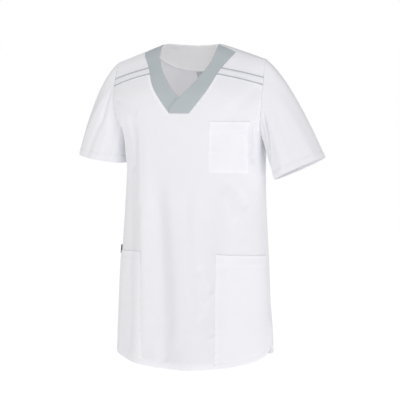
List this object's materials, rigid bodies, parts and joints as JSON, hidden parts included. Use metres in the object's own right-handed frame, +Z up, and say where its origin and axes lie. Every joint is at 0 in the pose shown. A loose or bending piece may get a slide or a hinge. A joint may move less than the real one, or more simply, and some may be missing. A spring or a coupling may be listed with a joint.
{
  "type": "scrub top",
  "caption": "Hollow short-sleeved V-neck scrub top with a crossover contrast band, shoulder piping, patch pockets and a rounded hem with side vents.",
  "frame": {"origin": "between the shoulders, 20 mm below the top of the shoulder ridge at the neck, where the wearer holds the garment up", "axes": "+Z up, +X the viewer's right (the wearer's left), the front faces -Y"},
  "size_m": [0.5977, 0.2391, 0.7455],
  "materials": {
    "white_cloth": "matte white woven cloth, fibre and weave guessed",
    "grey_blue_cloth": "matte grey-blue woven cloth, fibre guessed",
    "grey_blue_piping": "corded grey-blue piping",
    "woven_tab": "dark woven tape",
    "woven_label": "plain woven label"
  },
  "bodies": {
    "root": {"front_body": "white_cloth", "back_body": "white_cloth", "yoke_upper_left": "white_cloth", "yoke_upper_right": "white_cloth", "yoke_strip_left": "white_cloth", "yoke_strip_right": "white_cloth", "back_neck_facing": "white_cloth", "sleeve_left": "white_cloth", "sleeve_right": "white_cloth", "chest_pocket": "white_cloth", "pocket_lower_left": "white_cloth", "pocket_lower_right": "white_cloth", "neckband_over": "grey_blue_cloth", "neckband_under": "grey_blue_cloth", "piping_upper_left": "grey_blue_piping", "piping_upper_right": "grey_blue_piping", "piping_lower_left": "grey_blue_piping", "piping_lower_right": "grey_blue_piping", "side_tab": "woven_tab", "neck_label": "woven_label"}
  },
  "joints": []
}
